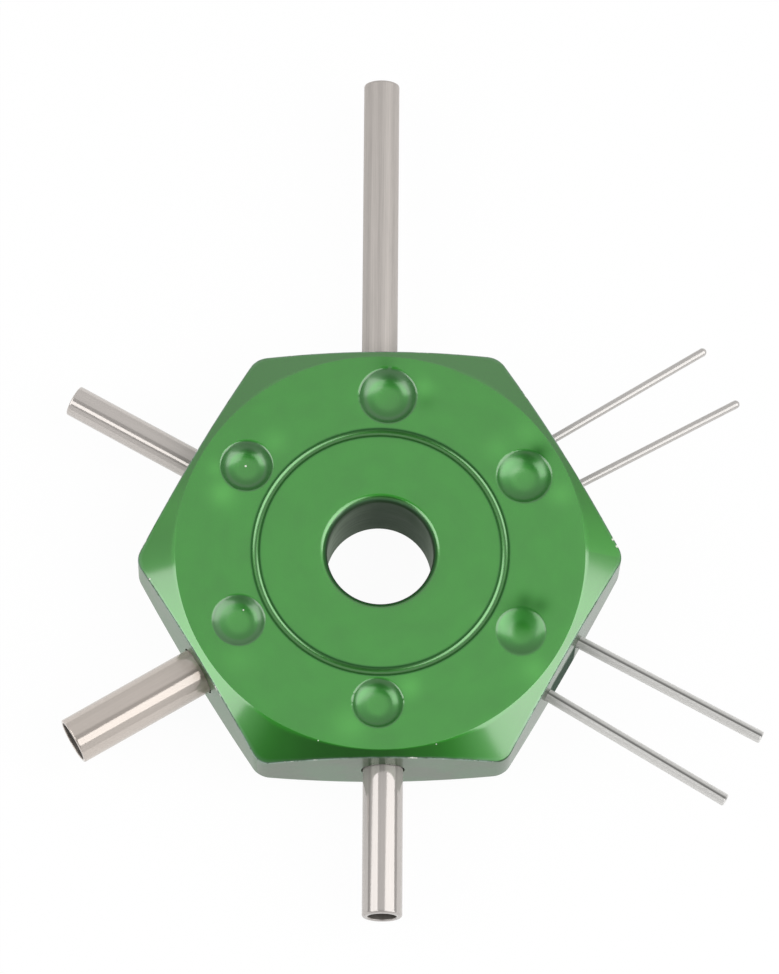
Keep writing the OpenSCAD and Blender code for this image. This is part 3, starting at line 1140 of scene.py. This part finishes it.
def drawn_metal(name, metal, gloss, roughness, streaks=0.03, pitch=0.15, relief=0.002, stain=0.0, reflection_darkness=0.0):
    """Plated tube or drawn wire: marks run along the piece, read from its own frame.

    gloss is the share of the light that the metal mirrors and does not scatter. streaks is how far the
    marks differ in colour, pitch their distance and relief their height in millimetres. stain is how
    strongly a brown stain shows on the first millimetre outside the hub, and line how dark the thin
    line along the top of a pin is.
    """
    finish = settings("finish")
    material, nodes, inputs = new_material(name)
    own = attribute(nodes, "own_frame", "Vector")
    across, beside, out = split(nodes, own)
    stretched = add_node(nodes, "Mapping", {"Vector": own, "Scale": (1 / pitch, 1 / pitch, 1 / 9)})
    lines = noise(nodes, stretched.outputs[0], 1.0, 3.0, 0.65)
    marks = place_group(nodes, "Tool marks", Pattern=own, Pitch=3.0, Length=3.0)
    plain = mixed(nodes, ramp(nodes, lines, 0.3, 0.7), tinted(metal, 1 - streaks), tinted(metal, 1 + streaks))

    patchy = ramp(nodes, noise(nodes, own, 0.6, 3.0), 0.35, 0.6)
    brown = product(nodes, product(nodes, ramp(nodes, out, 1.6, 0.3), patchy), stain)
    stained = mixed(nodes, brown, plain, finish.stain)

    # Painted reflection along the top of a thick pin: a thin dark line, and a softer band of painted shade
    # beside it.
    on_top = product(nodes, ramp(nodes, beside, -0.1, -0.03), ramp(nodes, across, 0.0, -0.1))
    sharp = product(nodes, on_top, ramp(nodes, beside, 0.22, 0.08))
    soft = product(nodes, on_top, ramp(nodes, beside, 0.5, 0.0))
    shadow = calc(nodes, "MULTIPLY_ADD", soft, 0.45, product(nodes, sharp, 0.55))
    feed(inputs["Base Color"], mixed(nodes, product(nodes, shadow, reflection_darkness), stained, finish.seam))

    feed(inputs["Metallic"], gloss)
    feed(inputs["Roughness"], calc(nodes, "MULTIPLY_ADD", marks["Blotches"], 0.06, roughness - 0.03))
    feed(inputs["Normal"], bump(nodes, lines, relief, 0.5))
    return material


def floor_material():
    """Pale floor that keeps the object's shadow, and shows the camera and the metal a white sweep."""
    material = bpy.data.materials.new("white_sweep")
    nodes = emptied(material)
    matt = add_node(nodes, "BsdfDiffuse", {"Color": settings("studio").floor})
    glow = add_node(nodes, "Emission", {"Strength": 1.0})
    ray = add_node(nodes, "LightPath").outputs
    seen = calc(nodes, "MAXIMUM", ray["Is Camera Ray"], ray["Is Glossy Ray"])
    seen = calc(nodes, "MAXIMUM", seen, ray["Is Transmission Ray"])
    amount = product(nodes, seen, FLOOR_GLOW)
    blend = add_node(nodes, "MixShader", {0: amount, 1: matt.outputs[0], 2: glow.outputs[0]})
    add_node(nodes, "OutputMaterial", {"Surface": blend.outputs[0]})
    return material


# Studio

def room_light(world):
    """A pale room with a dimmer ceiling, a dark gap round the camera and dark low bands at both sides.

    The camera sees white.
    """
    studio = settings("studio")
    nodes = emptied(world)
    direction = add_node(nodes, "TexCoord").outputs["Generated"]
    x, _, z = split(nodes, direction)
    ceiling = ramp(nodes, z, 0.84, 0.94)
    room = calc(nodes, "MULTIPLY_ADD", ceiling, studio.overhead - studio.walls, studio.walls)
    toward_gap = add_node(nodes, "VectorMath", {0: direction, 1: GAP_DIRECTION}, operation="DOT_PRODUCT")
    gap = ramp(nodes, toward_gap.outputs["Value"], 0.77, 0.84)
    low = calc(nodes, "SUBTRACT", 1.0, ramp(nodes, z, 0.15, 0.36))
    band = product(nodes, low, ramp(nodes, product(nodes, x, x), 0.5, 0.8))
    for place, dark in ((gap, GAP_DARK), (band, BAND_DARK)):
        room = product(nodes, room, calc(nodes, "MULTIPLY_ADD", place, -dark, 1.0))
    glow = add_node(nodes, "Background", {"Color": WHITE, "Strength": room})
    white = add_node(nodes, "Background", {"Color": WHITE})
    seen = add_node(nodes, "LightPath").outputs["Is Camera Ray"]
    blend = add_node(nodes, "MixShader", {0: seen, 1: glow.outputs[0], 2: white.outputs[0]})
    add_node(nodes, "OutputWorld", {"Surface": blend.outputs[0]})


def soft_box(name, azimuth, elevation, roll, width, height):
    """An area lamp that faces the object, rolled about its own axis. Its power is brightness * pi * area."""
    lamp = bpy.data.lights.new(name, "AREA")
    lamp.shape = "RECTANGLE"
    lamp.size = width
    lamp.size_y = height
    lamp.energy = settings("studio").soft_box * math.pi * width * height
    a, e = math.radians(azimuth), math.radians(elevation)
    toward = Vector((math.cos(a) * math.cos(e), math.sin(a) * math.cos(e), math.sin(e)))
    rolled = toward.to_track_quat("Z", "Y").to_matrix() @ Matrix.Rotation(math.radians(roll), 3, "Z")
    holder = new_piece(name, lamp)
    holder.location = toward * SOFT_BOX_DISTANCE
    holder.rotation_euler = rolled.to_euler()
    holder.visible_camera = False


def add_floor():
    """A square floor just under the hub."""
    size, height = FLOOR_SIZE, -settings("hub").thickness / 2 - FLOOR_GAP
    mesh = bpy.data.meshes.new("floor")
    corners = [(-size, -size, height), (size, -size, height), (size, size, height), (-size, size, height)]
    mesh.from_pydata(corners, [], [(0, 1, 2, 3)])
    mesh.materials.append(floor_material())
    floor = new_piece("floor", mesh)


def add_camera():
    """The camera that sees the tool as the photograph does."""
    studio = settings("studio")
    lens = bpy.data.cameras.new("camera")
    lens.lens = studio.focal_length
    lens.sensor_width = 36
    lens.clip_start = 0.01
    lens.clip_end = 20
    camera = new_piece("camera", lens)
    camera.location = studio.camera_place
    camera.rotation_euler = Euler(studio.camera_turn)
    bpy.context.scene.camera = camera


# Operators

class REMOVALTOOL_OT_stage(bpy.types.Operator):
    """Makes the floor, the light and the camera."""

    bl_idname = "removaltool.stage"
    bl_label = "Studio"

    def execute(self, context):
        scene = context.scene
        scene.view_settings.view_transform = "Standard"
        add_floor()
        scene.world = bpy.data.worlds.new("room")
        room_light(scene.world)
        for name, box in SOFT_BOXES.items():
            soft_box(name, *box)
        add_camera()
        return {"FINISHED"}


class REMOVALTOOL_OT_hub(bpy.types.Operator):
    """Makes the anodised hub with its sockets, ring groove and ball marks."""

    bl_idname = "removaltool.hub"
    bl_label = "Hub"

    def execute(self, context):
        finish = settings("finish")
        mesh = drilled(grid_mesh("hub_blank", hub_points()), socket_cutters())
        mesh.name = "anodised_hub"
        for name, values in hub_masks(vectors(mesh.vertices, "co") / MM).items():
            put_attribute(mesh, name, values)
        materials = {
            FACE: anodised_material("anodised_face", finish.anodised, 0.19, **TURNED_FINISH),
            SIDE: anodised_material("anodised_side", finish.anodised_side, 0.09, **SIDE_FINISH),
            BORE: drilled_material(finish.bore_wall, finish.bore_shade),
            CHAMFER: anodised_material("anodised_chamfer", finish.anodised, 0.1, **TURNED_FINISH),
            MARK: anodised_material("anodised_mark", finish.anodised, 0.23, **TURNED_FINISH),
        }
        mesh.materials.clear()
        for index in sorted(materials):
            mesh.materials.append(materials[index])
        mesh.polygons.foreach_set("material_index", hub_face_kinds(mesh))
        shade(mesh, HUB_CREASE)
        piece_for_node("anodised_hub", mesh, "hub")
        return {"FINISHED"}


class REMOVALTOOL_OT_tubes(bpy.types.Operator):
    """Makes the four tubes."""

    bl_idname = "removaltool.tubes"
    bl_label = "Tubes"

    def execute(self, context):
        finish = settings("finish")
        satin = drawn_metal("satin_nickel", finish.satin, 0.6, 0.5, streaks=0.10, pitch=0.12, relief=0.01)
        bright = drawn_metal("bright_nickel", finish.polished, 0.5, 0.11)
        grey = drawn_metal("grey_nickel", finish.grey, 0.39, 0.08)
        warm = drawn_metal("warm_nickel", finish.warm, 0.48, 0.09, stain=0.5)
        # Painted shade inside the tubes: a darker copy of the drawn metal.
        wall = drawn_metal("tube_inside_shade", finish.tube_inside_shade, 0.7, 0.4, streaks=0.15, pitch=0.3, relief=0.01)
        depth = settings("hub").socket_depth / MM
        for name, slot, material in (
            ("long_tube", "tube_satin", satin),
            ("small_tube", "tube_polished", bright),
            ("large_tube", "tube_polished", warm),
            ("medium_tube", "tube_polished", grey),
        ):
            tool = settings(name)
            outer, bore, reach = tool.outer / MM, tool.bore / MM, tool.reach / MM
            profile = tube_profile(outer, bore, reach, depth)
            place = tool_places(name)[0]
            piece = add_tool("drawn_" + name, name, profile, place, TUBE_COLUMNS, material)
            line_bore(piece.data, place, (outer + bore) / 4, reach, wall)
        return {"FINISHED"}


class REMOVALTOOL_OT_pins(bpy.types.Operator):
    """Makes the two pairs of pins."""

    bl_idname = "removaltool.pins"
    bl_label = "Pins"

    def execute(self, context):
        finish = settings("finish")
        bright = drawn_metal("bright_wire", finish.steel, 0.46, 0.12, streaks=0.04, pitch=0.2, relief=0.001)
        dull = drawn_metal(
            "dull_wire", finish.dull_steel, 0.3, 0.3, streaks=0.04, pitch=0.2, relief=0.001, reflection_darkness=0.85
        )
        depth = settings("hub").socket_depth / MM
        bevel = settings("pairs").bevel / MM
        fine, thick = settings("fine_pin"), settings("thick_pin")
        domed = domed_profile(fine.outer / 2 / MM, fine.reach / MM, depth)
        square = square_profile(thick.outer / 2 / MM, thick.reach / MM, depth, bevel)
        for name, profile, material in (("fine_pin", domed, bright), ("thick_pin", square, dull)):
            for node, place in zip((name + "_upper", name + "_lower"), tool_places(name)):
                add_tool("wire_" + node, node, profile, place, PIN_COLUMNS, material)
        return {"FINISHED"}


# Panel and registration

class REMOVALTOOL_PT_panel(bpy.types.Panel):
    """Lists the sizes, the finishes and the steps that build the tool."""

    bl_label = "Terminal removal tool"
    bl_space_type = "VIEW_3D"
    bl_region_type = "UI"
    bl_category = "Removal tool"

    def draw(self, context):
        for operator in OPERATORS:
            self.layout.operator(operator.bl_idname)
        for name, group in GROUPS.items():
            box = self.layout.box()
            box.label(text=name.replace("_", " ").capitalize())
            for prop in group.__annotations__:
                box.prop(settings(name), prop)


GROUPS = {
    "hub": HubSettings,
    **TOOL_GROUPS,
    "pairs": PairSettings,
    "finish": FinishSettings,
    "studio": StudioSettings,
}
OPERATORS = (REMOVALTOOL_OT_stage, REMOVALTOOL_OT_hub, REMOVALTOOL_OT_tubes, REMOVALTOOL_OT_pins)


def register():
    """Registers the classes and puts the property groups on the scene."""
    for name, group in GROUPS.items():
        bpy.utils.register_class(group)
        setattr(bpy.types.Scene, "removal_tool_" + name, bpy.props.PointerProperty(type=group))
    for cls in OPERATORS + (REMOVALTOOL_PT_panel,):
        bpy.utils.register_class(cls)


def unregister():
    """Takes it all away again."""
    for cls in (REMOVALTOOL_PT_panel,) + OPERATORS[::-1]:
        bpy.utils.unregister_class(cls)
    for name, group in GROUPS.items():
        delattr(bpy.types.Scene, "removal_tool_" + name)
        bpy.utils.unregister_class(group)


def main():
    """Builds everything and writes the two boxes to the size file."""
    register()
    tool_marks_group()
    wear_group()
    dust_group()
    bpy.ops.removaltool.stage()
    bpy.ops.removaltool.hub()
    bpy.ops.removaltool.tubes()
    bpy.ops.removaltool.pins()
    bpy.context.view_layer.update()


if __name__ == "__main__":
    main()
